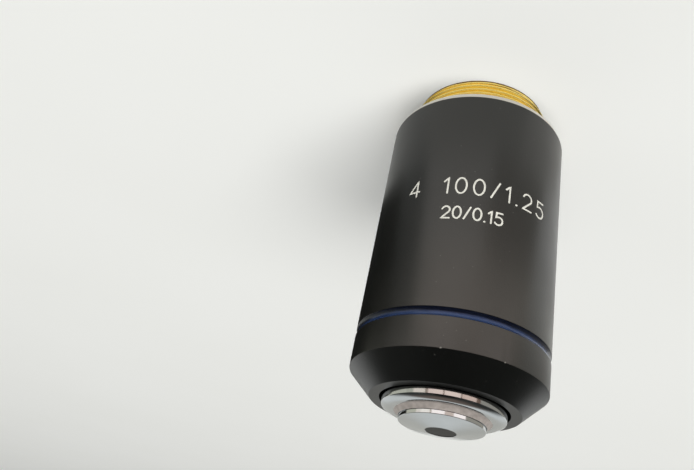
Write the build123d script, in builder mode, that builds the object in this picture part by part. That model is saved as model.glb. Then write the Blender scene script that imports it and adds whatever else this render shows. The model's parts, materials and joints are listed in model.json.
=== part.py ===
# A microscope objective with a spring-loaded front, standing on its thread with the front lens up.
# The origin is the centre of the seating shoulder, on the optical axis, and +Z points to the front lens.
# Lengths are in millimetres. Pieces turned on the axis are drawn as half sections, radius across and z up.
import os
from math import asin, copysign, cos, radians, sin, sqrt, tan

from build123d import *

# Standard sizes of this kind of objective
parfocal_distance = 45.0
cover_glass = 0.17
working_distance = 0.10
inch = 25.4
threads_per_inch = 36
thread_angle = 55
thread_r = 10.16
thread_depth = 0.46
thread_length = 5.06

# Fits between neighbours, on the radius
glass_fit = 0.02
screw_fit = 0.02
slip_fit = 0.05
running_fit = 0.06
nose_gap = 0.30
cement = 0.01
seat_fit = 0.01

# How far the front can be pushed in
travel = 2.5

# Lens stack across the axis, from the glass outwards
meniscus_r = 3.4
doublet_r = 4.7
thick_lens_r = 4.0
rear_doublet_r = 3.6
cell_wall = 1.52
neck_wall = 0.85
cap_wall = 0.84
stop_ledge = 1.04
tube_wall = 1.80
sleeve_wall = 1.50
front_rim = 1.36

cell_r = doublet_r + glass_fit + cell_wall
stack_bore_r = cell_r + slip_fit
neck_r = stack_bore_r + neck_wall
nose_r = neck_r + screw_fit + cap_wall
nose_bore_r = nose_r + nose_gap
land_r = nose_bore_r + stop_ledge
tube_bore_r = land_r + running_fit
tube_r = tube_bore_r + tube_wall
sleeve_bore_r = tube_r + slip_fit
barrel_r = sleeve_bore_r + sleeve_wall
cone_end_r = nose_bore_r + front_rim
spigot_r = tube_bore_r - screw_fit

# Front of the nose, from the tip down
face_rise = 0.68
boss_height = 0.50
step_rise = 0.60
rim_rise = 0.41
rim_height = 0.89
cone_height = 3.01

tip_z = parfocal_distance - cover_glass - working_distance
boss_edge_z = tip_z - face_rise
boss_foot_z = boss_edge_z - boss_height
corner_z = boss_foot_z - step_rise
rim_z = corner_z - rim_rise
front_z = rim_z - rim_height
cone_start_z = front_z - cone_height


def finish(piece, label):
    piece.part.label = label
    export_step(piece.part, f"parts/{label}.step")


def turned(outline):
    with BuildPart() as piece:
        with BuildSketch(Plane.XZ):
            with BuildLine():
                Polyline(*outline, close=True)
            make_face()
        revolve(axis=Axis.Z)
    return piece


def plain_ring(inner_r, outer_r, low_z, high_z):
    with BuildPart() as ring:
        with BuildSketch(Plane.XY.offset(low_z)):
            Circle(outer_r)
            Circle(inner_r, mode=Mode.SUBTRACT)
        extrude(amount=high_z - low_z)
    return ring


# A ring with two spanner slots across one face. cut_z is the slotted face, and cut is its depth.
def slotted_ring(inner_r, outer_r, low_z, high_z, slot_width, cut_z, cut):
    with BuildPart() as ring:
        with BuildSketch(Plane.XY.offset(low_z)):
            Circle(outer_r)
            Circle(inner_r, mode=Mode.SUBTRACT)
        extrude(amount=high_z - low_z)
        with BuildSketch(Plane.XY.offset(cut_z)):
            Rectangle(2 * outer_r, slot_width)
        extrude(amount=cut, mode=Mode.SUBTRACT)
    return ring


# Signed radius of the ball that a lens surface lies on, from its edge radius and the height of its middle.
def ball_radius(edge_r, sag):
    return (edge_r**2 + sag**2) / (2 * sag)


# Height of a lens surface above its own edge, at radius r.
def rise_at(r, edge_r, sag):
    ball = ball_radius(edge_r, sag)
    return sag - ball + copysign(sqrt(ball**2 - r**2), ball)


# The arc of one lens surface, from the edge to the axis. sag is how far its middle stands above the edge.
def lens_surface(edge_r, edge_z, sag):
    ball = ball_radius(edge_r, sag)
    half_turn = asin(edge_r / abs(ball)) / 2
    middle = (abs(ball) * sin(half_turn), edge_z + sag - ball + ball * cos(half_turn))
    return ThreePointArc((edge_r, edge_z), middle, (0, edge_z + sag))


def lens(radius, top_z, top_sag, edge, bottom_sag):
    with BuildPart() as glass:
        with BuildSketch(Plane.XZ):
            with BuildLine():
                lens_surface(radius, top_z, top_sag)
                lens_surface(radius, top_z - edge, bottom_sag)
                Line((radius, top_z), (radius, top_z - edge))
                Line((0, top_z + top_sag), (0, top_z - edge + bottom_sag))
            make_face()
        revolve(axis=Axis.Z)
    return glass


os.makedirs("parts", exist_ok=True)

# Front lens cell: the bright disc at the tip, with a flange that the cap clamps on the carrier's neck
boss_r = 5.50
boss_bevel = 0.06
front_lens_r = 1.95
front_lens_bulge = 0.15
front_lens_edge = 0.43
front_lens_sink = 0.06
front_seat_width = 0.45
front_seat_land = 0.50
throat_r = 3.20
flange_thickness = 0.90
cap_lip = 0.65
flange_r = neck_r - slip_fit
lip_z = corner_z - cap_lip
neck_top_z = lip_z - flange_thickness

front_lens_ball_r = front_lens_r + front_lens_bulge
front_seat_r = front_lens_r - front_seat_width
lens_face_z = tip_z - front_lens_sink
lens_edge_z = lens_face_z - front_lens_edge
front_ball_z = lens_edge_z + sqrt(front_lens_ball_r**2 - front_lens_r**2)
front_seat_z = front_ball_z - sqrt(front_lens_ball_r**2 - front_seat_r**2) - seat_fit

front_lens_cell = turned(
    [
        (front_lens_r + glass_fit, tip_z),
        (boss_r - boss_bevel, boss_edge_z),
        (boss_r, boss_edge_z - boss_bevel),
        (boss_r, lip_z),
        (flange_r, lip_z),
        (flange_r, neck_top_z),
        (throat_r, neck_top_z),
        (front_seat_r, front_seat_z - front_seat_land),
        (front_seat_r, front_seat_z),
        (front_lens_r + glass_fit, front_seat_z),
    ]
)
finish(front_lens_cell, "front_lens_cell")

# Front lens: flat towards the specimen, almost a half ball behind
with BuildPart() as front_lens:
    with BuildSketch(Plane.XZ):
        with BuildLine():
            lens_surface(front_lens_r, lens_edge_z, front_ball_z - front_lens_ball_r - lens_edge_z)
            Polyline(
                (front_lens_r, lens_edge_z),
                (front_lens_r, lens_face_z),
                (0, lens_face_z),
                (0, front_ball_z - front_lens_ball_r),
            )
        make_face()
    revolve(axis=Axis.Z)
finish(front_lens, "front_lens")

# Nose cap: the bright stepped cap, screwed over the carrier's neck
boss_ledge = 0.07
step_slope = 0.58
rim_bevel = 0.10
skirt_bevel = 0.20
cap_skirt = 4.80
step_r = boss_r + slip_fit + boss_ledge
corner_r = step_r + step_slope
cap_bottom_z = neck_top_z - cap_skirt
nose_cap = turned(
    [
        (boss_r + slip_fit, lip_z),
        (boss_r + slip_fit, boss_foot_z),
        (step_r, boss_foot_z),
        (corner_r, corner_z),
        (nose_r - rim_bevel, rim_z + rim_bevel / 2),
        (nose_r, rim_z - rim_bevel),
        (nose_r, cap_bottom_z + skirt_bevel),
        (nose_r - skirt_bevel, cap_bottom_z),
        (neck_r + screw_fit, cap_bottom_z),
        (neck_r + screw_fit, lip_z),
    ]
)
finish(nose_cap, "nose_cap")

# Lens groups behind the front lens, from the front backwards. Each glass is (name, edge thickness, lower
# sag). A sag is the height of a surface's middle above its edge, so it is negative where a lower surface
# bulges out.
meniscus_edge, meniscus_top_sag, meniscus_low_sag = 1.00, -1.10, -2.00
front_top_sag, front_joint_sag, front_low_sag = 0.40, 1.30, -1.10
front_flint_edge, front_crown_edge = 1.60, 0.80
middle_top_sag, middle_joint_sag, middle_low_sag = 1.00, -0.90, -0.30
middle_crown_edge, middle_flint_edge = 0.80, 1.50
thick_edge, thick_top_sag, thick_low_sag = 4.00, 1.40, 0.90
rear_top_sag, rear_joint_sag, rear_low_sag = -0.90, -0.50, -1.10
rear_flint_edge, rear_crown_edge = 1.80, 1.60
cell_lip = 0.50
seat_width = 0.40
air = 0.35
spacer_length = 3.00
spacer_wall = 1.24
spacer_bore_r = cell_r - spacer_wall

meniscus_glasses = [("meniscus_lens", meniscus_edge, meniscus_low_sag)]
front_glasses = [
    ("front_doublet_flint", front_flint_edge, front_joint_sag),
    ("front_doublet_crown", front_crown_edge, front_low_sag),
]
middle_glasses = [
    ("middle_doublet_crown", middle_crown_edge, middle_joint_sag),
    ("middle_doublet_flint", middle_flint_edge, middle_low_sag),
]
thick_glasses = [("thick_lens", thick_edge, thick_low_sag)]
rear_glasses = [
    ("rear_doublet_flint", rear_flint_edge, rear_joint_sag),
    ("rear_doublet_crown", rear_crown_edge, rear_low_sag),
]


# Makes one cell with its glasses under the height top_z, and returns the height of the cell's back face.
def lens_group(cell_name, glass_r, top_z, top_sag, glasses):
    seat_r = glass_r - seat_width
    seat_rise = max(0, rise_at(seat_r, glass_r, top_sag))
    lip = cell_lip + max(0, top_sag - seat_rise)
    edge_z = top_z - lip - seat_rise - seat_fit
    sag = top_sag
    for name, edge, low_sag in glasses:
        finish(lens(glass_r, edge_z, sag, edge, low_sag), name)
        edge_z = edge_z - edge - cement
        sag = low_sag
    back_z = edge_z + min(0, sag) - air
    cell = turned(
        [
            (seat_r, top_z),
            (cell_r, top_z),
            (cell_r, back_z),
            (glass_r + glass_fit, back_z),
            (glass_r + glass_fit, top_z - lip),
            (seat_r, top_z - lip),
        ]
    )
    finish(cell, cell_name)
    return back_z


stack_z = lens_group("meniscus_cell", meniscus_r, neck_top_z, meniscus_top_sag, meniscus_glasses)
stack_z = lens_group("front_doublet_cell", doublet_r, stack_z, front_top_sag, front_glasses)
stack_z = lens_group("middle_doublet_cell", doublet_r, stack_z, middle_top_sag, middle_glasses)
spacer_back_z = stack_z - spacer_length
finish(plain_ring(spacer_bore_r, cell_r, spacer_back_z, stack_z), "spacer_ring")
stack_z = lens_group("thick_lens_cell", thick_lens_r, spacer_back_z, thick_top_sag, thick_glasses)
stack_z = lens_group("rear_doublet_cell", rear_doublet_r, stack_z, rear_top_sag, rear_glasses)

# Aperture stop and the threaded ring that locks the stack
stop_thickness = 0.40
pupil_r = 2.60
lock_ring_thickness = 1.60
lock_ring_wall = 2.27
spanner_slot_width = 1.00
spanner_slot_depth = 0.70
lock_ring_r = stack_bore_r - screw_fit
pupil_z = stack_z - stop_thickness
stack_back_z = pupil_z - lock_ring_thickness
finish(plain_ring(pupil_r, cell_r, pupil_z, stack_z), "aperture_stop")
lens_lock_ring = slotted_ring(
    lock_ring_r - lock_ring_wall,
    lock_ring_r,
    stack_back_z,
    pupil_z,
    spanner_slot_width,
    stack_back_z,
    spanner_slot_depth,
)
finish(lens_lock_ring, "lens_lock_ring")

# Mount: the threaded brass piece, with the spigot that the guide tube screws onto. Its flange is a cone, so
# that the thread's full width ends at the shoulder.
shoulder_ring_thickness = 0.80
flange_height = 0.40
flange_taper = 0.40
spigot_engagement = 3.40
mount_wall = 1.78
bore_bevel = 0.40
thread_crest = 0.09
thread_pilot = 0.45
thread_pitch = inch / threads_per_inch
flank_run = thread_depth * tan(radians(thread_angle / 2))
root_r = thread_r - thread_depth
light_bore_r = min(root_r, spigot_r) - mount_wall
spigot_z = shoulder_ring_thickness + spigot_engagement


# The thread's outline from its free end upwards. Rings of the real pitch and section stand for the helix,
# and the top one lies against the shoulder.
def thread_outline():
    spaces = int((thread_length - thread_pilot - thread_crest - flank_run) / thread_pitch)
    points = []
    for step in range(spaces, -1, -1):
        crest_z = -step * thread_pitch
        points += [
            (root_r, crest_z - thread_crest - flank_run),
            (thread_r, crest_z - thread_crest),
            (thread_r, crest_z),
            (root_r, crest_z + flank_run),
        ]
    return points[:-1]


thread_mount = turned(
    [
        (light_bore_r + bore_bevel, -thread_length),
        (root_r, -thread_length),
        *thread_outline(),
        (thread_r - flange_taper, flange_height),
        (spigot_r, flange_height),
        (spigot_r, spigot_z),
        (light_bore_r, spigot_z),
        (light_bore_r, bore_bevel - thread_length),
    ]
)
finish(thread_mount, "thread_mount")

# Bright shoulder ring, clamped between the mount and the guide tube, with a conical seat for the flange
shoulder_inset = 0.35
shoulder_bevel = 0.15
shoulder_ring = turned(
    [
        (thread_r + screw_fit, 0),
        (barrel_r - shoulder_inset - shoulder_bevel, 0),
        (barrel_r - shoulder_inset, shoulder_bevel),
        (barrel_r - shoulder_inset, shoulder_ring_thickness),
        (spigot_r + screw_fit, shoulder_ring_thickness),
        (spigot_r + screw_fit, flange_height),
        (thread_r - flange_taper + screw_fit, flange_height),
    ]
)
finish(shoulder_ring, "shoulder_ring")

# Lens carrier: two guide lands on the outside, the lens bore inside, and a neck at each end
carrier_rim = 1.00
spring_overlap = 4.00
neck_collar_length = 2.70
collar_step = 0.10
front_land = 10.40
rear_land = 4.50
relief = 0.64
land_bevel = 0.15
rear_neck_wall = 1.30
carrier_back_z = stack_back_z - carrier_rim
land_back_z = carrier_back_z + spring_overlap
land_top_z = cap_bottom_z - neck_collar_length
rear_neck_r = stack_bore_r + rear_neck_wall

# Guide screw and the slot that it runs in
screw_depth_in_land = 3.20
screw_head_r = 1.40
screw_head_height = 0.80
screw_shank_r = 0.80
screw_tip_r = 0.65
screw_tip_reach = 1.20
screw_pocket_depth = 1.00
screw_slot_width = 0.35
screw_slot_depth = 0.40
tip_clearance = 0.10
slot_floor_gap = 0.30
end_slack = 0.15
screw_z = land_top_z - travel - end_slack - screw_tip_r - screw_depth_in_land
pocket_floor = tube_r - screw_pocket_depth
tip_end = land_r - screw_tip_reach
slot_floor = tip_end - slot_floor_gap
slot_length = travel + 2 * end_slack
slot_middle_z = screw_z + travel / 2

with BuildPart() as lens_carrier:
    with BuildSketch(Plane.XZ):
        with BuildLine():
            Polyline(
                (stack_bore_r, neck_top_z),
                (neck_r, neck_top_z),
                (neck_r, cap_bottom_z),
                (nose_r - collar_step, cap_bottom_z),
                (nose_r - collar_step, land_top_z),
                (land_r - land_bevel, land_top_z),
                (land_r, land_top_z - land_bevel),
                (land_r, land_top_z - front_land),
                (land_r - relief, land_top_z - front_land - relief),
                (land_r - relief, land_back_z + rear_land + relief),
                (land_r, land_back_z + rear_land),
                (land_r, land_back_z + land_bevel),
                (land_r - land_bevel, land_back_z),
                (rear_neck_r, land_back_z),
                (rear_neck_r, carrier_back_z),
                (stack_bore_r, carrier_back_z),
                close=True,
            )
        make_face()
    revolve(axis=Axis.Z)
    with BuildSketch(Plane.XZ.offset(-slot_floor)):
        with Locations((0, slot_middle_z)):
            SlotCenterToCenter(slot_length, 2 * (screw_tip_r + tip_clearance), rotation=90)
    extrude(amount=slot_floor - land_r, mode=Mode.SUBTRACT)
finish(lens_carrier, "lens_carrier")

with BuildPart() as guide_screw:
    with BuildSketch(Plane.XZ.offset(-pocket_floor - screw_head_height)):
        with Locations((0, screw_z)):
            Circle(screw_head_r)
    extrude(amount=screw_head_height)
    with BuildSketch(Plane.XZ.offset(-pocket_floor)):
        with Locations((0, screw_z)):
            Circle(screw_shank_r)
    extrude(amount=pocket_floor - tube_bore_r)
    with BuildSketch(Plane.XZ.offset(-tube_bore_r)):
        with Locations((0, screw_z)):
            Circle(screw_tip_r)
    extrude(amount=tube_bore_r - tip_end)
    with BuildSketch(Plane.XZ.offset(-pocket_floor - screw_head_height)):
        with Locations((0, screw_z)):
            Rectangle(2 * screw_head_r, screw_slot_width)
    extrude(amount=screw_slot_depth, mode=Mode.SUBTRACT)
finish(guide_screw, "guide_screw")

# Carrier stop ring: screwed into the front of the guide tube, with the carrier's front land against it
stop_ring_thickness = 2.00
stop_gap = 0.02
tube_rim = 0.30
stop_ring_z = land_top_z + stop_gap
stop_ring_top_z = stop_ring_z + stop_ring_thickness
tube_front_z = stop_ring_top_z + tube_rim
carrier_stop_ring = slotted_ring(
    nose_bore_r,
    tube_bore_r - screw_fit,
    stop_ring_z,
    stop_ring_top_z,
    spanner_slot_width,
    stop_ring_top_z,
    -spanner_slot_depth,
)
finish(carrier_stop_ring, "carrier_stop_ring")

# Guide tube: carries the sliding carrier, with a pocket and a hole for the guide screw
tube_bevel = 0.20
with BuildPart() as main_tube:
    with BuildSketch(Plane.XZ):
        with BuildLine():
            Polyline(
                (tube_bore_r, shoulder_ring_thickness),
                (tube_r, shoulder_ring_thickness),
                (tube_r, tube_front_z - tube_bevel),
                (tube_r - tube_bevel, tube_front_z),
                (tube_bore_r, tube_front_z),
                close=True,
            )
        make_face()
    revolve(axis=Axis.Z)
    with BuildSketch(Plane.XZ.offset(-pocket_floor)):
        with Locations((0, screw_z)):
            Circle(screw_head_r + slip_fit)
    extrude(amount=pocket_floor - tube_r, mode=Mode.SUBTRACT)
    with BuildSketch(Plane.XZ.offset(-slot_floor)):
        with Locations((0, screw_z)):
            Circle(screw_shank_r + screw_fit)
    extrude(amount=slot_floor - tube_r, mode=Mode.SUBTRACT)
finish(main_tube, "main_tube")

# Coil spring between the spigot and the carrier's rear land
wire_r = 0.35
coil_spacing = 1.60
spring_inner_gap = 0.20
spring_r = rear_neck_r + spring_inner_gap + wire_r
spring_low_z = spigot_z + wire_r + seat_fit
spring_height = land_back_z - spigot_z - 2 * (wire_r + seat_fit)
spring_turns = max(1, round(spring_height / coil_spacing))
with BuildPart() as coil_spring:
    with BuildLine(Plane.XY.offset(spring_low_z)) as spring_path:
        Helix(pitch=spring_height / spring_turns, height=spring_height, radius=spring_r)
    with BuildSketch(Plane(spring_path.line @ 0, z_dir=spring_path.line % 0)):
        Circle(wire_r)
    sweep(path=spring_path.line, is_frenet=True)
finish(coil_spring, "coil_spring")

# Cover sleeve: the black outer sleeve with its groove, cone and front bore
edge_bevel = 0.12
groove_width = 1.20
groove_depth = 0.38
groove_to_cone = 3.96
front_wall = 1.25
front_ledge = 1.10
cavity_cone_drop = 0.44
groove_high_z = cone_start_z - groove_to_cone
groove_low_z = groove_high_z - groove_width
groove_z = groove_high_z - groove_width / 2
with BuildPart() as cover_sleeve:
    with BuildSketch(Plane.XZ):
        with BuildLine():
            Polyline(
                (barrel_r, groove_low_z),
                (barrel_r, shoulder_ring_thickness + edge_bevel),
                (barrel_r - edge_bevel, shoulder_ring_thickness),
                (sleeve_bore_r, shoulder_ring_thickness),
                (sleeve_bore_r, cone_start_z - cavity_cone_drop),
                (nose_bore_r + front_ledge, front_z - front_wall),
                (nose_bore_r, front_z - front_wall),
                (nose_bore_r, front_z),
                (cone_end_r, front_z),
                (barrel_r, cone_start_z),
                (barrel_r, groove_high_z),
            )
            ThreePointArc(
                (barrel_r, groove_high_z),
                (barrel_r - groove_depth, groove_z),
                (barrel_r, groove_low_z),
            )
        make_face()
    revolve(axis=Axis.Z)
finish(cover_sleeve, "cover_sleeve")

# Colour band: enamel that fills the bottom of the groove, with a dished face
enamel_sink = 0.14
enamel_dish = 0.07
enamel_fit = 0.01
groove_arc_r = (groove_depth**2 + (groove_width / 2) ** 2) / (2 * groove_depth)
groove_centre_r = barrel_r - groove_depth + groove_arc_r
band_r = barrel_r - enamel_sink
band_half = sqrt((groove_arc_r - enamel_fit) ** 2 - (groove_centre_r - band_r) ** 2)
with BuildPart() as colour_band:
    with BuildSketch(Plane.XZ):
        with BuildLine():
            ThreePointArc(
                (band_r, groove_z - band_half),
                (barrel_r - groove_depth + enamel_fit, groove_z),
                (band_r, groove_z + band_half),
            )
            ThreePointArc(
                (band_r, groove_z - band_half),
                (band_r - enamel_dish, groove_z),
                (band_r, groove_z + band_half),
            )
        make_face()
    revolve(axis=Axis.Z)
finish(colour_band, "colour_band")

print("radii: barrel", round(barrel_r, 3), "nose", round(nose_r, 3), "thread", round(thread_r, 3))
print("heights: tip", round(tip_z, 3), "front", round(front_z, 3), "cone", round(cone_start_z, 3))
print("carrier: back", round(carrier_back_z, 3), "lands", round(land_back_z, 3), round(land_top_z, 3))
print("stack back", round(stack_back_z, 3), "spigot", round(spigot_z, 3), "screw", round(screw_z, 3))
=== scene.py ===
# Looks for a high-power microscope objective that stands on its thread with the front lens up.
# Lengths in the dictionaries are millimetres, and the meshes are in metres, round the optical axis Z.
import json
import math

import bmesh
import bpy
from mathutils import Matrix, Vector


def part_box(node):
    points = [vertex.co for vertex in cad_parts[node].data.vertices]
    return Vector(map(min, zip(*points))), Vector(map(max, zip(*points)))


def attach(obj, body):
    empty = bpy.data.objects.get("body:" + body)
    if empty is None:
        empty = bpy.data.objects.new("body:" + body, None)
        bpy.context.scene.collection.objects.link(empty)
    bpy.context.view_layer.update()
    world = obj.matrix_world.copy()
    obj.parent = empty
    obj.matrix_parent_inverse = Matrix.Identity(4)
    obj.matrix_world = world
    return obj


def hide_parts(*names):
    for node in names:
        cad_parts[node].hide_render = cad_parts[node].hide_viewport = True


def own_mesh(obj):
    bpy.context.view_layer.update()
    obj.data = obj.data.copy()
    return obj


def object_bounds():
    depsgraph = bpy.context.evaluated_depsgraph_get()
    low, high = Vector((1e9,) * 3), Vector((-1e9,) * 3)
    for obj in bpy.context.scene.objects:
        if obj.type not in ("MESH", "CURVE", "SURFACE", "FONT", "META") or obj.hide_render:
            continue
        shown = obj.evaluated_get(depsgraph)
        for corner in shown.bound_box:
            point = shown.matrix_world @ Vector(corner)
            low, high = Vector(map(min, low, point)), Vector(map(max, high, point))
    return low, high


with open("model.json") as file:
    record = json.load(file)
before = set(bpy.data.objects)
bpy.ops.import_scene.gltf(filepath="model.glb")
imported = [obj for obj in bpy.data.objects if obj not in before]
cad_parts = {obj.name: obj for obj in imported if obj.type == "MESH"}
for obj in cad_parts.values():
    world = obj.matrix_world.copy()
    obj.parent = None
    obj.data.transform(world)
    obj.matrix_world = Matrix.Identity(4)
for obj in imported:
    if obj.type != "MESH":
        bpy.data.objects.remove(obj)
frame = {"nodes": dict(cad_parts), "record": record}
cadLow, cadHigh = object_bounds()
nodes = frame["nodes"]
scene = bpy.context.scene
mm = 0.001
print("frame loaded:", len(nodes), "CAD nodes")


# Outer radius and end heights of a round CAD node, in mm
def roundSize(node):
    low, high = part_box(node)
    return high.x / mm, low.z / mm, high.z / mm


# sRGB hex to linear colour
def hexColour(text):
    parts = [int(text[k:k + 2], 16) / 255 for k in (1, 3, 5)]
    return [p / 12.92 if p <= 0.04045 else ((p + 0.055) / 1.055) ** 2.4 for p in parts] + [1.0]


# Adds a node: inputs take a value or another node's output, and the rest are the node's own settings
def addNode(tree, kind, inputs=None, **settings):
    made = tree.nodes.new(kind)
    for key, value in settings.items():
        setattr(made, key, value)
    for key, value in (inputs or {}).items():
        if isinstance(value, bpy.types.NodeSocket):
            tree.links.new(value, made.inputs[key])
        else:
            made.inputs[key].default_value = value
    return made


# A new material with only its surface shader, which is returned with the tree
def startMaterial(name, inputs):
    material = bpy.data.materials.new(name)
    material.use_nodes = True
    tree = material.node_tree
    tree.nodes.clear()
    shader = addNode(tree, "ShaderNodeBsdfPrincipled", inputs)
    addNode(tree, "ShaderNodeOutputMaterial", {"Surface": shader.outputs["BSDF"]})
    return material, tree, shader


# Object coordinates in mm
def millimetres(tree):
    place = addNode(tree, "ShaderNodeTexCoord")
    scaled = addNode(tree, "ShaderNodeVectorMath", {
        0: place.outputs["Object"], "Scale": 1 / mm}, operation="SCALE")
    return scaled.outputs[0]


# Noise whose spots have the size given in mm
def noise(tree, place, size, detail=2.0):
    made = addNode(tree, "ShaderNodeTexNoise", {"Vector": place, "Scale": 1 / size, "Detail": detail})
    return made.outputs["Fac"]


# Takes a value from one range to another
def remap(tree, value, low, high, first=0.0, last=1.0):
    made = addNode(tree, "ShaderNodeMapRange", {
        "Value": value, "From Min": low, "From Max": high, "To Min": first, "To Max": last})
    return made.outputs["Result"]


# Mixes two colours by a share. Each is sRGB hex or another node's output.
def mixColours(tree, share, first, last):
    first, last = (hexColour(colour) if isinstance(colour, str) else colour for colour in (first, last))
    made = addNode(tree, "ShaderNodeMix", {"Factor": share, 6: first, 7: last}, data_type="RGBA")
    return made.outputs[2]


# Gives the surface the relief of a pattern, with its depth in mm
def carve(tree, shader, pattern, depth):
    bump = addNode(tree, "ShaderNodeBump", {"Height": pattern, "Strength": 1.0, "Distance": depth * mm})
    tree.links.new(bump.outputs["Normal"], shader.inputs["Normal"])


# The least and the greatest roughness of a look
def roughnessEnds(look):
    half = look["roughnessSpread"] / 2
    return look["roughness"] - half, look["roughness"] + half


# Black hard-anodised aluminium, bead blasted first: a dull dark skin that only shines towards its edges
anodised = {
    "colour": "#070807",
    "dustColour": "#4a4a47",
    "bareColour": "#605f5a",
    "ior": 1.70,  # aluminium oxide, a little lower where it is dyed
    "roughness": 0.34,
    "roughnessSpread": 0.08,
    "grain": 0.22,  # real blasting is about 0.05 mm, drawn coarser so that it shows
    "grainBump": 0.010,
    "cloud": 9.0,
    "cloudRange": (0.3, 0.7),
    "speckSpacing": 1.05,
    "speckSize": 0.045,
    "speckFade": 1.6,  # the speck ends at this many times its size
    "speckShare": 0.50,
    "bareNicks": [(5.4, 38.60, 0.15), (-28.9, 38.60, 0.13)],  # azimuth in degrees, height, radius
    "nickFade": 0.6,  # the bare metal starts to fade at this share of the radius
    "nickReach": 2.2,  # the dent reaches this many radii
    "nickDepth": 0.07,
}


def blackAnodised():
    a = anodised
    material, tree, shader = startMaterial("blackAnodisedAluminium", {"IOR": a["ior"], "Metallic": 0.0})
    place = millimetres(tree)
    rough = remap(tree, noise(tree, place, a["cloud"], 3.0), *a["cloudRange"], *roughnessEnds(a))
    tree.links.new(rough, shader.inputs["Roughness"])
    # Dust: small pale specks, only in some cells of the pattern
    cells = addNode(tree, "ShaderNodeTexVoronoi", {"Vector": place, "Scale": 1 / a["speckSpacing"]})
    size, fade = a["speckSize"], a["speckFade"]
    speck = remap(tree, cells.outputs["Distance"], size, size * fade, 1.0, 0.0)
    chosen = addNode(tree, "ShaderNodeSeparateColor", {"Color": cells.outputs["Color"]})
    some = addNode(tree, "ShaderNodeMath", {
        0: chosen.outputs["Red"], 1: 1 - a["speckShare"]}, operation="GREATER_THAN")
    dust = addNode(tree, "ShaderNodeMath", {0: speck, 1: some.outputs[0]}, operation="MULTIPLY")
    skin = mixColours(tree, dust.outputs[0], a["colour"], a["dustColour"])
    # Nicks along the edge of the cone, worn down to the bare metal
    for azimuth, height, size in a["bareNicks"]:
        away = addNode(tree, "ShaderNodeVectorMath", {
            0: place, 1: onBarrel(azimuth, height)}, operation="DISTANCE")
        bare = remap(tree, away.outputs["Value"], size * a["nickFade"], size, 1.0, 0.0)
        skin = mixColours(tree, bare, skin, a["bareColour"])
    tree.links.new(skin, shader.inputs["Base Color"])
    carve(tree, shader, noise(tree, place, a["grain"]), a["grainBump"])
    return material


bothNoises = (0.6, 1.4)  # the range that most of the sum of two noises lies in


# Turned metal: a metal whose lathe marks run in rings, with tarnish that clouds its colour and gloss
def turnedMetal(name):
    look = metalLooks[name]
    material, tree, shader = startMaterial(name, {
        "Metallic": look.get("metallic", 1.0), "Anisotropic": look["anisotropic"]})
    place = millimetres(tree)
    # The marks vary along the outline, so the distance from the axis and the height feed one value
    flat = addNode(tree, "ShaderNodeVectorMath", {0: place, 1: (1, 1, 0)}, operation="MULTIPLY")
    radius = addNode(tree, "ShaderNodeVectorMath", {0: flat.outputs[0]}, operation="LENGTH")
    split = addNode(tree, "ShaderNodeSeparateXYZ", {"Vector": place})
    along = addNode(tree, "ShaderNodeMath", {
        0: radius.outputs["Value"], 1: split.outputs["Z"]}, operation="ADD")
    marks = addNode(tree, "ShaderNodeTexNoise", {
        "W": along.outputs[0], "Scale": 1 / look["markSpacing"], "Detail": 2.0}, noise_dimensions="1D")
    cloud = noise(tree, place, look["cloud"], 4.0)
    tree.links.new(mixColours(tree, cloud, look["colour"], look["tarnish"]), shader.inputs["Base Color"])
    both = addNode(tree, "ShaderNodeMath", {0: marks.outputs["Fac"], 1: cloud}, operation="ADD")
    rough = remap(tree, both.outputs[0], *bothNoises, *roughnessEnds(look))
    tree.links.new(rough, shader.inputs["Roughness"])
    carve(tree, shader, marks.outputs["Fac"], look["markDepth"])
    tangent = addNode(tree, "ShaderNodeTangent", direction_type="RADIAL", axis="Z")
    tree.links.new(tangent.outputs["Tangent"], shader.inputs["Tangent"])
    return material


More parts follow.
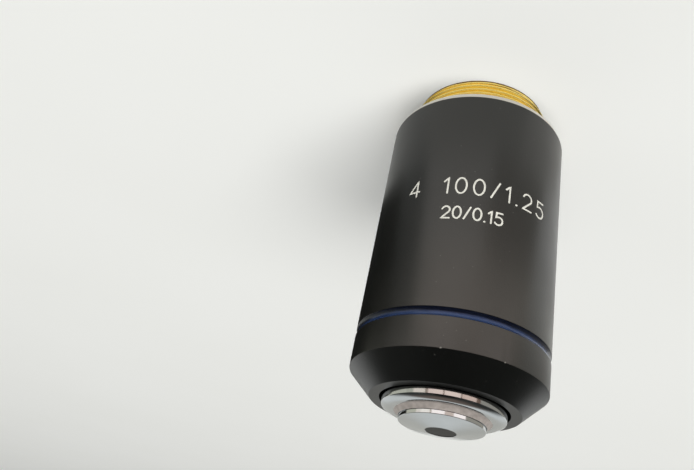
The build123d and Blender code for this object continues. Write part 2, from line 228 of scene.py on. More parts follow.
metalLooks = {
    # Chromed brass, turned and then plated: bright, with soft rings on its faces
    "brightChrome": {
        "colour": "#dcdedf", "tarnish": "#c9cccd", "roughness": 0.10, "roughnessSpread": 0.04,
        "markSpacing": 0.16, "markDepth": 0.0008, "cloud": 3.0, "anisotropic": 0.35},
    # The same plate over a coarse cut, round the boss: torn grooves that scatter like a matt grey
    "satinChrome": {
        "colour": "#e4dad4", "tarnish": "#a39a94", "roughness": 0.54, "roughnessSpread": 0.06,
        "markSpacing": 0.16, "markDepth": 0.0012, "cloud": 0.7, "anisotropic": 0.35, "metallic": 0.55},
    # Fine turned nickel silver: nearly white, with little contrast
    "paleRing": {
        "colour": "#f2efe9", "tarnish": "#e6e2da", "roughness": 0.38, "roughnessSpread": 0.08,
        "markSpacing": 0.12, "markDepth": 0.001, "cloud": 2.5, "anisotropic": 0.3},
    # Lacquered brass, cut on a lathe: warm gold that darkens in the thread's roots
    "lacqueredBrass": {
        "colour": "#ffeb92", "tarnish": "#f6cf69", "roughness": 0.26, "roughnessSpread": 0.10,
        "markSpacing": 0.10, "markDepth": 0.001, "cloud": 1.6, "anisotropic": 0.2},
    # The same brass on the plain end of the thread, darkened: painted shade for the dark line where the
    # thread's end meets the table
    "brassWithPaintedShade": {
        "colour": "#8a6430", "tarnish": "#4e3718", "roughness": 0.34, "roughnessSpread": 0.10,
        "markSpacing": 0.10, "markDepth": 0.001, "cloud": 1.6, "anisotropic": 0.2},
    # Satin nickel plate on the inner tube: grey and even
    "satinNickel": {
        "colour": "#bdbcb8", "tarnish": "#a9a7a2", "roughness": 0.34, "roughnessSpread": 0.08,
        "markSpacing": 0.14, "markDepth": 0.0012, "cloud": 3.0, "anisotropic": 0.3},
    # Turned steel of the guide screw: grey, with a dark film of oil
    "drawnSteel": {
        "colour": "#a5a6a8", "tarnish": "#85868a", "roughness": 0.30, "roughnessSpread": 0.10,
        "markSpacing": 0.12, "markDepth": 0.001, "cloud": 0.8, "anisotropic": 0.0},
    # Drawn spring wire: darker, with streaks from the die
    "drawnSpring": {
        "colour": "#8f9093", "tarnish": "#707278", "roughness": 0.28, "roughnessSpread": 0.10,
        "markSpacing": 0.10, "markDepth": 0.001, "cloud": 0.5, "anisotropic": 0.0},
}


# Chemically blackened brass inside: near black, with brown where the finish is thin
blackened = {
    "colour": "#12110f", "thinAndLit": "#2a221a", "roughness": 0.55, "ior": 1.5,
    "cloud": 1.2, "grain": 0.15, "grainBump": 0.008,
}


def blackenedBrass():
    b = blackened
    material, tree, shader = startMaterial("blackenedBrass", {"IOR": b["ior"], "Roughness": b["roughness"]})
    place = millimetres(tree)
    colour = mixColours(tree, noise(tree, place, b["cloud"], 4.0), b["colour"], b["thinAndLit"])
    tree.links.new(colour, shader.inputs["Base Color"])
    carve(tree, shader, noise(tree, place, b["grain"]), b["grainBump"])
    return material


# Stoved enamel in the groove, with painted shade and light: dark navy on the thread's side of its dished
# face, paler blue towards the front edge
enamel = {
    # The dark navy is painted shade and the paler blue is painted light, for the shaded and the lit halves
    # of the dish
    "shadedNavy": "#080b18", "thinAndLit": "#22355c", "sheen": "#b4c8ee", "ior": 1.5, "roughness": 0.26,
    "coat": 0.3, "coatRoughness": 0.12, "brush": 1.5, "brushBump": 0.010,
    "litFrom": -0.22, "litTo": 0.18, "waver": 0.25,  # heights from the middle of the groove
}


def blueEnamel():
    e = enamel
    material, tree, shader = startMaterial("stovedBlueEnamel", {
        "IOR": e["ior"], "Roughness": e["roughness"], "Specular Tint": hexColour(e["sheen"]),
        "Coat Weight": e["coat"], "Coat Roughness": e["coatRoughness"]})
    place = millimetres(tree)
    brush = noise(tree, place, e["brush"], 3.0)
    split = addNode(tree, "ShaderNodeSeparateXYZ", {"Vector": place})
    wavy = addNode(tree, "ShaderNodeMath", {
        0: brush, 1: e["waver"], 2: split.outputs["Z"]}, operation="MULTIPLY_ADD")
    # Painted shade and light by height: the colour turns from the dark navy to the paler blue towards the
    # nose
    middle = grooveMiddle + e["waver"] / 2
    thinAndLit = remap(tree, wavy.outputs[0], middle + e["litFrom"], middle + e["litTo"])
    tree.links.new(mixColours(tree, thinAndLit, e["shadedNavy"], e["thinAndLit"]), shader.inputs["Base Color"])
    carve(tree, shader, brush, e["brushBump"])
    return material


# Paint rubbed into the engraving: off-white and flat, thinner in places
fillPaint = {"colour": "#dfddd5", "thinAndLit": "#c2c0b8", "roughness": 0.55, "ior": 1.5, "patch": 0.5}


def engravingPaint():
    p = fillPaint
    material, tree, shader = startMaterial("rubbedInPaint", {"IOR": p["ior"], "Roughness": p["roughness"]})
    patch = noise(tree, millimetres(tree), p["patch"], 3.0)
    tree.links.new(mixColours(tree, patch, p["colour"], p["thinAndLit"]), shader.inputs["Base Color"])
    return material


# Coated optical glass: clear, with a faint green cast and a little dust, and dim in what it mirrors
glass = {
    "tint": "#8d9794", "roughness": 0.01, "dust": 0.12, "dustRange": (0.55, 0.75), "dustRoughness": 0.10,
    "ior": 1.15,  # lower than the glass's own 1.52, for the little that the coating lets it mirror
}


def coatedGlass():
    g = glass
    material, tree, shader = startMaterial("coatedOpticalGlass", {
        "IOR": g["ior"], "Transmission Weight": 1.0, "Base Color": hexColour(g["tint"])})
    dust = noise(tree, millimetres(tree), g["dust"])
    rough = remap(tree, dust, *g["dustRange"], g["roughness"], g["dustRoughness"])
    tree.links.new(rough, shader.inputs["Roughness"])
    return material


# Roundings take at most this share of a side, and a point at "hold" times their run keeps the flat flat
rounding = {"longest": 0.4, "hold": 1.25, "steps": 4}


# A closed outline with its corners rounded. Each corner is (radius from the axis, height, rounding).
def roundedOutline(corners):
    points = []
    longest, hold, steps = (rounding[key] for key in ("longest", "hold", "steps"))
    for k, (r, z, edge) in enumerate(corners):
        here = Vector((r, z))
        back = Vector(corners[k - 1][:2]) - here
        ahead = Vector(corners[(k + 1) % len(corners)][:2]) - here
        if not edge:
            points.append(here)
            continue
        half = back.angle(ahead) / 2
        run = min(edge / math.tan(half), longest * back.length, longest * ahead.length)
        back, ahead = back.normalized(), ahead.normalized()
        centre = here + (back + ahead).normalized() * run / math.cos(half)
        points.append(here + back * run * hold)
        first, last = here + back * run - centre, here + ahead * run - centre
        turn = math.pi - 2 * half
        for s in range(steps + 1):
            share = s / steps
            mixed = (first * math.sin((1 - share) * turn) + last * math.sin(share * turn)) / math.sin(turn)
            points.append(centre + mixed)
        points.append(here + ahead * run * hold)
    return points


# Points on an arc of a circle in the outline's plane, from one angle to another in degrees
def arcPoints(centre, radius, start, end, steps):
    angles = [math.radians(start + (end - start) * s / steps) for s in range(steps + 1)]
    return [(centre[0] + radius * math.cos(a), centre[1] + radius * math.sin(a), 0) for a in angles]


# Marks the edges between faces that meet at more than this angle, so that only they shade as sharp
def shadeTurned(mesh, sharpAngle=35):
    mesh.shade_smooth()
    mesh.set_sharp_from_angle(angle=math.radians(sharpAngle))


# Makes a bmesh into a piece that rides on a body and stands for CAD nodes
def pieceFrom(name, built, materials, body, replaced=()):
    bmesh.ops.remove_doubles(built, verts=built.verts, dist=1e-7)
    bmesh.ops.recalc_face_normals(built, faces=built.faces)
    mesh = bpy.data.meshes.new(name)
    built.to_mesh(mesh)
    built.free()
    shadeTurned(mesh)
    for material in materials:
        mesh.materials.append(material)
    piece = bpy.data.objects.new(name, mesh)
    scene.collection.objects.link(piece)
    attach(piece, body)
    if replaced:
        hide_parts(*replaced)
    return piece


# A ring of points round the axis, or one point on it
def ringAt(built, r, z, segments):
    if r < 1e-6:
        return [built.verts.new((0, 0, z * mm))] * segments
    turns = (2 * math.pi * s / segments for s in range(segments))
    return [built.verts.new((r * mm * math.cos(a), r * mm * math.sin(a), z * mm)) for a in turns]


def bridgeRings(built, ring, after):
    for s in range(len(ring)):
        t = (s + 1) % len(ring)
        corner = []
        for vert in (ring[s], ring[t], after[t], after[s]):
            if vert not in corner:
                corner.append(vert)
        if len(corner) > 2:
            built.faces.new(corner)


# Turns a closed outline round the axis
def turned(corners, segments=256):
    built = bmesh.new()
    rings = [ringAt(built, r, z, segments) for r, z in roundedOutline(corners)]
    for k, ring in enumerate(rings):
        bridgeRings(built, rings[k - 1], ring)
    return built


# Cover sleeve: black barrel with the groove, the cone and the bore that the nose slides in
sleeveRadius, sleeveLow, sleeveHigh = roundSize("cover_sleeve")
capRadius, capLow = roundSize("nose_cap")[:2]
sleeve = {
    "bore": roundSize("main_tube")[0] + 0.05,
    "noseBore": capRadius + 0.30,
    "frontRim": 1.36,
    "frontLedge": 1.10,
    "frontWall": 1.25,
    "coneHeight": 3.01,
    "cavityDrop": 0.44,
    "grooveToCone": 3.96,
    "grooveWidth": 1.20,
    "grooveDepth": 0.38,
    "grooveSteps": 14,
    "lowBevel": 0.12,
    "bevelEdge": 0.05,
    "edge": 0.06,
    "innerEdge": 0.04,
    "coneEdge": 0.10,
}
coneStart = sleeveHigh - sleeve["coneHeight"]
grooveMiddle = coneStart - sleeve["grooveToCone"] - sleeve["grooveWidth"] / 2
grooveArc = (sleeve["grooveDepth"] ** 2 + (sleeve["grooveWidth"] / 2) ** 2) / (2 * sleeve["grooveDepth"])
grooveCentre = (sleeveRadius - sleeve["grooveDepth"] + grooveArc, grooveMiddle)


# A point on the barrel, from its azimuth (0 faces the marked side, positive towards +X) and height
def onBarrel(azimuth, height, radius=sleeveRadius):
    turn = math.radians(azimuth)
    return Vector((radius * math.sin(turn), -radius * math.cos(turn), height))


# Small dents in the edge where it has been knocked
def dentNicks(built):
    for azimuth, height, size in anodised["bareNicks"]:
        spot, reach = onBarrel(azimuth, height) * mm, anodised["nickReach"] * size * mm
        for vert in built.verts:
            away = (vert.co - spot).length
            if away < reach:
                inward = Vector((-vert.co.x, -vert.co.y, 0)).normalized()
                vert.co += inward * anodised["nickDepth"] * mm * (1 - away / reach)


def makeSleeve():
    s = sleeve
    spread = math.degrees(math.asin(s["grooveWidth"] / 2 / grooveArc))
    built = turned([
        (sleeveRadius - s["lowBevel"], sleeveLow, s["innerEdge"]),
        (s["bore"], sleeveLow, s["innerEdge"]),
        (s["bore"], coneStart - s["cavityDrop"], 0),
        (s["noseBore"] + s["frontLedge"], sleeveHigh - s["frontWall"], 0),
        (s["noseBore"], sleeveHigh - s["frontWall"], s["innerEdge"]),
        (s["noseBore"], sleeveHigh, s["edge"]),
        (s["noseBore"] + s["frontRim"], sleeveHigh, s["edge"]),
        (sleeveRadius, coneStart, s["coneEdge"]),
        *arcPoints(grooveCentre, grooveArc, 180 - spread, 180 + spread, s["grooveSteps"]),
        (sleeveRadius, sleeveLow + s["lowBevel"], s["bevelEdge"]),
    ])
    dentNicks(built)
    pieceFrom("coverSleeve", built, [blackAnodised()], "barrel", ["cover_sleeve"])


makeSleeve()
print("cover sleeve turned")

# Colour band: enamel lying in the groove, its face dished by the brush
band = {
    "sink": 0.06, "dish": 0.22, "fit": 0.01, "steps": 16, "backSteps": 12,
    "deepest": 0.25,  # where the dish is deepest, from 0 in the middle to 1 at the nose's side
}


def makeBand():
    b = band
    backArc, faceRadius = grooveArc - b["fit"], sleeveRadius - b["sink"]
    half = math.sqrt(backArc**2 - (grooveCentre[0] - faceRadius) ** 2)
    spread = math.degrees(math.asin(half / backArc))
    back = arcPoints(grooveCentre, backArc, 180 - spread, 180 + spread, b["backSteps"])
    face = []
    for step in range(1, b["steps"]):
        across = 2 * step / b["steps"] - 1  # from -1 at the thread's side to 1 at the nose's
        away = across - b["deepest"]
        share = away / (1 + b["deepest"] if away < 0 else 1 - b["deepest"])
        face.append((faceRadius - b["dish"] * (1 - share**2), grooveMiddle + across * half, 0))
    built = turned(back + face)
    pieceFrom("colourBand", built, [blueEnamel()], "barrel", ["colour_band"])


makeBand()

# Threaded mount: 36 threads to the inch, right-handed, with the spigot inside the barrel
mount = {
    "pitch": 25.4 / 36,
    "depth": 0.46,
    # Each station is a share of the pitch and the share of the depth that stands there
    "stationShares": [(0.0, 1.0), (0.10, 0.98), (0.22, 0.72), (0.36, 0.26), (0.45, 0.02),
                      (0.55, 0.02), (0.64, 0.26), (0.78, 0.72), (0.90, 0.98)],
    "pilot": 0.45,
    "runOut": 0.30,
    "spigotRadius": 9.38,
    "bore": 7.60,
    "boreBevel": 0.40,
    "flangeHeight": 0.40,
    "flangeTaper": 0.40,
    "spareTurns": 3,  # so that the helix still fills both ends, where it is pressed flat
    "segments": 216,
}
mountRadius, mountLow, mountHigh = roundSize("thread_mount")


# Radius of the thread's surface: the thread fades out under the shoulder, and a 45 degree chamfer leads to
# the plain end
def threadRadius(height, share):
    fade = min(1.0, max(0.0, -height / mount["runOut"]))
    chamfer = max(0.0, height - mountLow - mount["pilot"])
    return mountRadius - max(mount["depth"] * (1 - share) * fade, mount["depth"] - chamfer)


def makeMount():
    m, segments = mount, mount["segments"]
    count = len(m["stationShares"])
    rows = (math.ceil(-mountLow / m["pitch"]) + m["spareTurns"]) * count
    built = bmesh.new()
    grid = []
    for i in range(rows):
        along, share = m["stationShares"][i % count]
        row = []
        for s in range(segments):
            rise = (i // count - 1 + along + s / segments) * m["pitch"]
            height = min(0.0, max(mountLow, mountLow + rise))
            turn, r = 2 * math.pi * s / segments, threadRadius(height, share) * mm
            row.append(built.verts.new((r * math.cos(turn), r * math.sin(turn), height * mm)))
        grid.append(row)
    for i in range(rows - 1):
        for s in range(segments - 1):
            built.faces.new((grid[i][s], grid[i][s + 1], grid[i + 1][s + 1], grid[i + 1][s]))
        j = i + count  # the next turn, which this one runs into
        if j + 1 < rows:
            built.faces.new((grid[i][-1], grid[j][0], grid[j + 1][0], grid[i + 1][-1]))
    inside = [
        (mountRadius - m["flangeTaper"], m["flangeHeight"]), (m["spigotRadius"], m["flangeHeight"]),
        (m["spigotRadius"], mountHigh), (m["bore"], mountHigh), (m["bore"], mountLow + m["boreBevel"]),
        (m["bore"] + m["boreBevel"], mountLow)]
    rings = [grid[-1]] + [ringAt(built, r, z, segments) for r, z in inside] + [grid[0]]
    for k in range(len(rings) - 1):
        bridgeRings(built, rings[k], rings[k + 1])
    # The plain end takes the darkened brass: painted shade along the foot that stands on the table
    for face in built.faces:
        if face.calc_center_median().z < (mountLow + m["pilot"] / 2) * mm:
            face.material_index = 1
    brass = [turnedMetal("lacqueredBrass"), turnedMetal("brassWithPaintedShade")]
    piece = pieceFrom("threadedMount", built, brass, "barrel", ["thread_mount"])
    piece.visible_diffuse = False  # it throws no bright patch on the table
    return piece


makeMount()
print("thread cut")

# Shoulder ring: bright ring between the thread and the sleeve, with a conical seat for the mount's flange
shoulder = {"fit": 0.02, "edge": 0.12, "innerEdge": 0.04}


def makeShoulder():
    outer, low, high = roundSize("shoulder_ring")
    fit, inner, seat = shoulder["fit"], shoulder["innerEdge"], low + mount["flangeHeight"]
    built = turned([
        (mountRadius + fit, low, inner),
        (mountRadius - mount["flangeTaper"] + fit, seat, 0),
        (mount["spigotRadius"] + fit, seat, 0),
        (mount["spigotRadius"] + fit, high, 0),
        (outer, high, inner),
        (outer, low, shoulder["edge"]),
    ])
    pale = turnedMetal("paleRing")
    pieceFrom("shoulderRing", built, [pale], "barrel", ["shoulder_ring"])


makeShoulder()

# Nose: the stepped cap, the disc that holds the front lens, and the lens
cellRadius, cellLow, tip = roundSize("front_lens_cell")
lensRadius, lensFace = roundSize("front_lens")[::2]
nose = {
    "bossRadius": 5.50,
    "fit": 0.05,
    "faceRise": 0.68,
    "bossHeight": 0.50,
    "stepLedge": 0.07,
    "stepRise": 0.60,
    "stepSlope": 0.58,
    "rimRise": 0.41,
    "flange": 0.90,
    "threadFit": 0.02,
    "neckFit": 0.05,
    "edge": 0.05,
    "lensHoleEdge": 0.04,
    "footEdge": 0.02,
    "creaseEdge": 0.03,
    "backEdge": 0.15,
    "neckEdge": 0.05,
    "rimRoll": 0.06,
    "rimTaper": 0.10,
    "rimEdge": 0.14,
    "flangeDome": 0.13,
    "stepCove": -0.06,
    "lensFit": 0.02,
    "lensEdge": 0.43,
    "lensBulge": 0.15,
    "lensSegments": 96,
    "bowlSteps": 20,
    "clearShare": 0.60,
    "seatRadius": 1.50,
    "seatFit": 0.01,
    "seatLand": 0.50,
    "throat": 3.20,
    "paintMargin": (0.005, 0.001),  # across and along the axis, when the faces to blacken are chosen
}
bossEdge = tip - nose["faceRise"]
bossFoot = bossEdge - nose["bossHeight"]
stepFoot = nose["bossRadius"] + nose["fit"] + nose["stepLedge"]
stepCorner = bossFoot - nose["stepRise"]
lipHeight = cellLow + nose["flange"]
ballRadius = lensRadius + nose["lensBulge"]
ballMiddle = lensFace - nose["lensEdge"] + math.sqrt(ballRadius**2 - lensRadius**2)


# Points between two corners of an outline, bowed to the left of the way from one to the other
def bowed(first, last, sag, steps=10):
    first, chord = Vector(first), Vector(last) - Vector(first)
    side = Vector((-chord.y, chord.x)).normalized()
    shares = [s / steps for s in range(1, steps)]
    return [(*(first + chord * share + side * sag * 4 * share * (1 - share)), 0) for share in shares]


def makeCap(chrome, satin):
    n = nose
    foot, crease = (stepFoot, bossFoot), (stepFoot + n["stepSlope"], stepCorner)
    rim = (capRadius - n["rimTaper"], stepCorner - n["rimRise"] - n["rimRoll"])
    neck = cellRadius + n["neckFit"] + n["threadFit"]
    built = turned([
        (n["bossRadius"] + n["fit"], lipHeight, 0),
        (n["bossRadius"] + n["fit"], bossFoot, n["footEdge"]),
        (*foot, n["footEdge"]),
        *bowed(foot, crease, n["stepCove"]),
        (*crease, n["creaseEdge"]),
        *bowed(crease, rim, n["flangeDome"]),
        (*rim, n["rimEdge"]),
        (capRadius, sleeveHigh, 0),
        (capRadius, capLow, n["backEdge"]),
        (neck, capLow, n["neckEdge"]),
        (neck, lipHeight, 0),
    ])
    for face in built.faces:
        middle = face.calc_center_median()
        if stepCorner < middle.z / mm < bossFoot and math.hypot(middle.x, middle.y) > stepFoot * mm:
            face.material_index = 1
    pieceFrom("noseCap", built, [chrome, satin], "nose", ["nose_cap"])


def makeCell(chrome, blackInside):
    n = nose
    hole = lensRadius + n["lensFit"]
    seat = ballMiddle - math.sqrt(ballRadius**2 - n["seatRadius"] ** 2) - n["seatFit"]
    built = turned([
        (hole, tip, n["lensHoleEdge"]),
        (n["bossRadius"], bossEdge, n["edge"]),
        (n["bossRadius"], lipHeight, 0),
        (cellRadius, lipHeight, 0),
        (cellRadius, cellLow, 0),
        (n["throat"], cellLow, 0),
        (n["seatRadius"], seat - n["seatLand"], 0),
        (n["seatRadius"], seat, 0),
        (hole, seat, 0),
    ])
    # The throat behind the lens is blackened, so that the lens looks dark
    throatEdge, backEnd = hole + n["paintMargin"][0], cellLow + n["paintMargin"][1]
    for face in built.faces:
        middle = face.calc_center_median()
        if math.hypot(middle.x, middle.y) < throatEdge * mm or middle.z < backEnd * mm:
            face.material_index = 1
    metals = [chrome, blackInside]
    pieceFrom("frontLensCell", built, metals, "nose", ["front_lens_cell"])


def makeFrontLens(material, edgePaint):
    n = nose
    spread = math.degrees(math.acos(lensRadius / ballRadius))
    bowl = arcPoints((0, ballMiddle), ballRadius, -spread, -90, n["bowlSteps"])
    bowl[-1] = (0, ballMiddle - ballRadius, 0)
    built = turned([(0, lensFace, 0), (lensRadius, lensFace, 0), *bowl], n["lensSegments"])
    behind, clear = lensFace - n["paintMargin"][1], n["clearShare"] * lensRadius
    for face in built.faces:
        middle = face.calc_center_median()
        if middle.z < behind * mm and math.hypot(middle.x, middle.y) > clear * mm:
            face.material_index = 1
    pieceFrom("frontLens", built, [material, edgePaint], "nose", ["front_lens"])


chrome = turnedMetal("brightChrome")
black = blackenedBrass()
clearGlass = coatedGlass()
makeCap(chrome, turnedMetal("satinChrome"))
makeCell(chrome, black)
makeFrontLens(clearGlass, black)
print("nose turned")

# Engraved scale: plain numbers cut by one round tool and filled with paint
marking = {
    "lineWidth": 0.24,
    "proud": 0.012,
    "deep": 0.06,
    "step": 0.25,
    "mitre": 1.6,  # a stroke widens at most this much at a corner
    "flatShare": 0.86,  # the share of the stroke's width that is flat
    "endAngles": (25, 50, 70, 88),
    "crossing": (0.001, 0.004),  # each stroke lies higher by the first, up to the second, then low again
    # Text, start along the barrel from azimuth 0, height of the foot, height of the figures, gap as a share
    # of that height
    "rows": [("4", -8.55, 17.38, 2.40, 0.30), ("100/1.25", -3.60, 17.38, 2.40, 0.385),
             ("20/0.15", -3.40, 21.20, 1.75, 0.235)],
}


# Part of an ellipse, angles in degrees, in shares of the figure's height
def bow(x, y, across, up, start, end, steps=14):
    angles = [math.radians(start + (end - start) * s / steps) for s in range(steps + 1)]
    return [(x + across * math.cos(a), y + up * math.sin(a)) for a in angles]


# Each figure: its width, and the tool's paths, as shares of its height
figures = {
    "0": (0.58, [bow(0.29, 0.5, 0.29, 0.5, 90, 450, 28)]),
    "1": (0.26, [[(0.0, 0.76), (0.22, 1.0), (0.22, 0.0)]]),
    "2": (0.58, [bow(0.29, 0.71, 0.28, 0.29, 165, -38) + [(0.0, 0.0), (0.58, 0.0)]]),
    "4": (0.62, [[(0.62, 0.30), (0.0, 0.30), (0.46, 1.0), (0.46, 0.0)]]),
    "5": (0.58, [[(0.54, 1.0), (0.10, 1.0)] + bow(0.27, 0.33, 0.31, 0.33, 128, -145)]),
    "/": (0.42, [[(0.0, 0.0), (0.42, 1.0)]]),
    ".": (0.04, [[(0.0, 0.0), (0.04, 0.0)]]),
}


# Fills in a path so that its steps are short enough to follow the barrel
def fineSteps(path):
    fine = [Vector(path[0])]
    for point in map(Vector, path[1:]):
        start = fine[-1].copy()
        pieces = max(1, math.ceil((point - start).length / marking["step"]))
        fine += [start.lerp(point, k / pieces) for k in range(1, pieces + 1)]
    return fine


# One stroke of the tool: a shallow ribbon with round ends, bent round the barrel
def cutStroke(built, path, lift):
    half = marking["lineWidth"] / 2
    points = fineSteps(path)
    closed = (points[0] - points[-1]).length < 1e-6
    if closed:
        points = points[:-1]
    count = len(points)
    stations = []
    for k, point in enumerate(points):
        back = points[k - 1] if k or closed else point
        ahead = points[(k + 1) % count] if k < count - 1 or closed else point
        along = (ahead - back).normalized()
        first = (point - back).normalized() if (point - back).length > 1e-9 else along
        widen = min(marking["mitre"], 1 / max(1e-6, along.dot(first)))
        stations.append((point, Vector((-along.y, along.x)), half * widen))
    if not closed:
        for end, sign in ((0, -1), (-1, 1)):
            point, side = stations[end][:2]
            ahead = Vector((side.y, -side.x)) * sign
            tips = [(point + ahead * half * math.sin(a), side, half * math.cos(a))
                    for a in map(math.radians, marking["endAngles"])]
            stations = tips[::-1] + stations if end == 0 else stations + tips
    high, deep, flat = marking["proud"] + lift, -marking["deep"], marking["flatShare"]
    section = [(-1, deep), (-1, 0), (-flat, high), (flat, high), (1, 0), (1, deep)]
    rings = []
    for point, side, wide in stations:
        ring = []
        for across, up in section:
            u, v = point + side * across * wide
            spot = onBarrel(-math.degrees(u / sleeveRadius), v, sleeveRadius + up)
            ring.append(built.verts.new(spot * mm))
        rings.append(ring)
    pairs = list(zip(rings, rings[1:])) + ([(rings[-1], rings[0])] if closed else [])
    for ring, after in pairs:
        bridgeRings(built, ring, after)
    if not closed:
        built.faces.new(rings[0])
        built.faces.new(rings[-1][::-1])


def engrave():
    built = bmesh.new()
    lift, (liftStep, liftEnd) = 0.0, marking["crossing"]
    for text, start, foot, tall, gap in marking["rows"]:
        at = start
        for figure in text:
            width, paths = figures[figure]
            for path in paths:
                cutStroke(built, [(at + x * tall, foot - y * tall) for x, y in path], lift)
                lift = (lift + liftStep) % liftEnd  # crossing strokes don't share one plane
            at += (width + gap) * tall
    pieceFrom("engravedScale", built, [engravingPaint()], "barrel")


engrave()
print("scale engraved")

# The pieces inside keep their CAD meshes, each with its own finish
insideFinish = {
    "main_tube": turnedMetal("satinNickel"),
    "guide_screw": turnedMetal("drawnSteel"),
    "coil_spring": turnedMetal("drawnSpring"),
}


def finishInside():
    slots = {part["node"]: part["material_slot"] for part in frame["record"]["subparts"]}
    for name, piece in nodes.items():
        usual = clearGlass if slots.get(name) == "lens_glass" else black
        piece.data.materials.clear()
        piece.data.materials.append(insideFinish.get(name, usual))


finishInside()


def shortenSpring():
    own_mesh(nodes["coil_spring"])


shortenSpring()
print("inside finished")

# Pale table top, matt laminate, which holds the contact shadow
table = {
    "colour": "#f1f2f0", "shade": "#edeeeb", "roughness": 0.65, "mottle": 60.0, "half": 4000.0,
    "lift": 0.11,
}


def layTable():
    t = table
    material, tree, shader = startMaterial("mattLaminate", {
        "Roughness": t["roughness"], "Specular IOR Level": 0.0, "Emission Color": hexColour(t["colour"])})
    mottle = noise(tree, millimetres(tree), t["mottle"])
    tree.links.new(mixColours(tree, mottle, t["colour"], t["shade"]), shader.inputs["Base Color"])
    # Paler where it is looked at, straight or in a mirror, and no light from it on the object
    rays = addNode(tree, "ShaderNodeLightPath")
    seen = addNode(tree, "ShaderNodeMath", {
        0: rays.outputs["Is Camera Ray"], 1: rays.outputs["Is Glossy Ray"]}, operation="ADD")
    through = addNode(tree, "ShaderNodeMath", {
        0: seen.outputs[0], 1: rays.outputs["Is Transmission Ray"]}, operation="ADD", use_clamp=True)
    lift = addNode(tree, "ShaderNodeMath", {0: through.outputs[0], 1: t["lift"]}, operation="MULTIPLY")
    tree.links.new(lift.outputs[0], shader.inputs["Emission Strength"])
    half = t["half"] * mm
    corners = [(x * half, y * half, cadLow.z) for x, y in ((-1, -1), (1, -1), (1, 1), (-1, 1))]
    mesh = bpy.data.meshes.new("tableTop")
    mesh.from_pydata(corners, [], [(0, 1, 2, 3)])
    mesh.materials.append(material)
    top = bpy.data.objects.new("tableTop", mesh)
    scene.collection.objects.link(top)


layTable()

# Room light by direction. Each zone lies over the ones before it, and fades between its two angles.
room = {"colour": "#f4f5f3", "level": 1.0}
roomZones = [
    # The far side of the room, which the nose's faces mirror: a dimmer wall, and dimmer still lower down
    {"towards": (0.0, 0.82, 0.57), "inner": 12, "outer": 56, "colour": "#eff3f3", "level": 0.77},
    {"towards": (0.0, 0.98, 0.17), "inner": 10, "outer": 28, "colour": "#efefe8", "level": 0.59},
    # The dark ceiling, and its darkest parts in front and at the sides
    {"towards": (-0.12, 0.0, 0.99), "inner": 39, "outer": 50, "colour": "#ffe6d8", "level": 0.15},
    {"towards": (0.0, -0.32, 0.95), "inner": 30, "outer": 47, "colour": "#eef4f0", "level": 0.01},
    {"towards": (-0.68, 0.22, 0.70), "inner": 22, "outer": 41, "colour": "#eef4f0", "level": 0.04},
    {"towards": (0.62, 0.14, 0.77), "inner": 20, "outer": 38, "colour": "#eef4f0", "level": 0.05},
]
# The key lamp: place and size in mm, and the level of its surface. It lights all that is matt.
keyLamp = {"place": (-519, -1224, 1586), "size": (1680, 1260), "level": 6.0, "colour": "#fffefc"}
# Cards round the object that only show in what shines. Each ring of cards has its inner and outer edge as
# (distance, height), its level, and bands of colour from one azimuth to the next, in degrees.
paleWall, frontWall, pane, bar = "#a8a89b", "#838078", "#f0dad0", "#6b554a"
cards = {
    "step": 5,
    "rings": [
        # Three rings on the table: their dark bands at the left keep that side of the barrel dark
        {"inner": (14, -4.9), "outer": (34, -4.9), "level": 1.0,
         "bands": [(180, 55, "#c0c1bd"), (55, -45, "#c9c9c3"), (-45, -110, "#dcdbd5"),
                   (-110, -180, "#efefeb")]},
        {"inner": (34, -4.9), "outer": (72, -4.9), "level": 1.0,
         "bands": [(180, 170, "#efefeb"), (170, 82, "#131615"), (82, 50, "#7a7d7b"), (50, -20, "#eceae5"),
                   (-20, -85, "#9a978f"), (-85, -180, "#f4f4f1")]},
        {"inner": (72, -4.9), "outer": (110, -4.9), "level": 1.7,
         "bands": [(180, 170, "#cecec9"), (170, 74, "#080a09"), (74, 45, "#50524d"),
                   (45, -32, "#fff4e6"), (-32, -85, "#d9d1c5"), (-85, -180, "#cecec9")]},
        # Upright, from below: a wall for the barrel, the windows for the boss, and those for the rim
        {"inner": (110, -4.9), "outer": (110, 4), "level": 1.45,
         "bands": [(170, 70, "#0c0e0c"), (70, 29, "#8f8f84"), (29, -69, "#f6e4d8"),
                   (-69, -130, frontWall)]},
        {"inner": (110, 4), "outer": (110, 23), "level": 1.45,
         "bands": [(170, 106, "#0c0e0c"), (106, 72, paleWall), (72, 58, "#cfc8c0"), (58, 33, "#e3ddd6"),
                   (33, 29, "#a09488"), (29, -4, "#f4ebe8"), (-4, -27, "#b9aaa2"), (-27, -59, "#f4ebe8"),
                   (-59, -130, frontWall)]},
        {"inner": (110, 23), "outer": (110, 42), "level": 1.05,
         "bands": [(130, 70, "#bfbfb2"), (70, 56, "#b0b0a4"), (56, 34.5, "#e8ddd2"),
                   (34.5, 29.5, "#8a7b70"), (29.5, 4, pane), (4, 2, bar), (2, -26, pane), (-26, -28, bar),
                   (-28, -54, "#dcc2b6"), (-54, -62, bar), (-62, -130, "#94918a")]},
        # Above the windows: brown shade, then a dark wall, which keeps the far side of the groove dark
        {"inner": (110, 42), "outer": (110, 60), "level": 1.0,
         "bands": [(130, 56, "#8f9084"), (56, 34, "#8c877c"), (34, -62, "#33261f"),
                   (-62, -130, "#6f6c64")]},
        {"inner": (110, 60), "outer": (110, 120), "level": 1.0,
         "bands": [(112, 70, "#4e4f4b"), (70, -70, "#12120f"), (-70, -108, "#4e4f4b")]},
    ],
}


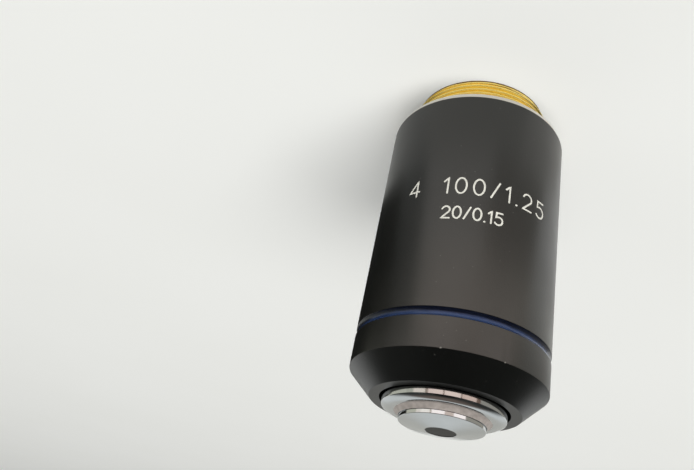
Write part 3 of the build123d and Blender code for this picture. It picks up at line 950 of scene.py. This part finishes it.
def setCards():
    built = bmesh.new()
    mesh = bpy.data.meshes.new("shineCards")
    for ring in cards["rings"]:
        for first, last, colour in ring["bands"]:
            mesh.materials.append(startMaterial("shineCard", {
                "Base Color": (0, 0, 0, 1), "Emission Color": hexColour(colour),
                "Emission Strength": ring["level"]})[0])
            steps = math.ceil((first - last) / cards["step"])
            angles = [first + (last - first) * a / steps for a in range(steps + 1)]
            near, far = ([built.verts.new(onBarrel(a, height, distance) * mm) for a in angles]
                         for distance, height in (ring["inner"], ring["outer"]))
            for a in range(steps):
                face = built.faces.new((near[a], near[a + 1], far[a + 1], far[a]))
                face.material_index = len(mesh.materials) - 1
    built.to_mesh(mesh)
    built.free()
    piece = bpy.data.objects.new("shineCards", mesh)
    piece.visible_camera = piece.visible_diffuse = piece.visible_shadow = piece.visible_transmission = False
    scene.collection.objects.link(piece)


def lightRoom():
    world = bpy.data.worlds.new("room")
    scene.world = world
    world.use_nodes = True
    tree = world.node_tree
    tree.nodes.clear()
    view = addNode(tree, "ShaderNodeTexCoord")
    shine = addNode(tree, "ShaderNodeBackground", {
        "Color": hexColour(room["colour"]), "Strength": room["level"]})
    for zone in roomZones:
        towards = addNode(tree, "ShaderNodeVectorMath", {
            0: view.outputs["Generated"], 1: Vector(zone["towards"]).normalized()}, operation="DOT_PRODUCT")
        share = addNode(tree, "ShaderNodeMapRange", {
            "Value": towards.outputs["Value"], "From Min": math.cos(math.radians(zone["outer"])),
            "From Max": math.cos(math.radians(zone["inner"]))}, interpolation_type="SMOOTHSTEP")
        patch = addNode(tree, "ShaderNodeBackground", {
            "Color": hexColour(zone["colour"]), "Strength": zone["level"]})
        shine = addNode(tree, "ShaderNodeMixShader", {
            "Fac": share.outputs["Result"], 1: shine.outputs[0], 2: patch.outputs[0]})
    addNode(tree, "ShaderNodeOutputWorld", {"Surface": shine.outputs[0]})


# A soft lamp that faces the object, whose surface shines at the level given
def hangKeyLamp():
    k = keyLamp
    lamp = bpy.data.lights.new("keySoftbox", "AREA")
    lamp.shape = "RECTANGLE"
    lamp.size, lamp.size_y = (side * mm for side in k["size"])
    lamp.energy = k["level"] * math.pi * lamp.size * lamp.size_y
    lamp.color = hexColour(k["colour"])[:3]
    holder = bpy.data.objects.new("keySoftbox", lamp)
    holder.location = Vector(k["place"]) * mm
    aim = Vector((0, 0, (cadLow.z + cadHigh.z) / 2))
    holder.rotation_euler = (aim - holder.location).to_track_quat("-Z", "Y").to_euler()
    holder.visible_camera = holder.visible_glossy = holder.visible_transmission = False
    scene.collection.objects.link(holder)


lightRoom()
setCards()
hangKeyLamp()

# Camera: looks down on the front of the objective, turned so that the thread is at the top of the picture
shot = {
    "eye": (0.0, -84.74, 66.71), "aim": (16.47, -3.33, 20.32), "roll": -167.09, "lens": 34.76,
    "clip": (5.0, 20000.0),
}


def setCamera():
    lens = bpy.data.cameras.new("shot")
    lens.lens = shot["lens"]
    lens.clip_start, lens.clip_end = (distance * mm for distance in shot["clip"])
    camera = bpy.data.objects.new("shot", lens)
    eye, aim = Vector(shot["eye"]) * mm, Vector(shot["aim"]) * mm
    level = (aim - eye).to_track_quat("-Z", "Y").to_matrix().to_4x4()
    roll = Matrix.Rotation(math.radians(shot["roll"]), 4, "Z")
    camera.matrix_world = Matrix.Translation(eye) @ level @ roll
    scene.collection.objects.link(camera)
    scene.camera = camera


setCamera()
scene.view_settings.view_transform = "Standard"
print("lights and camera placed")
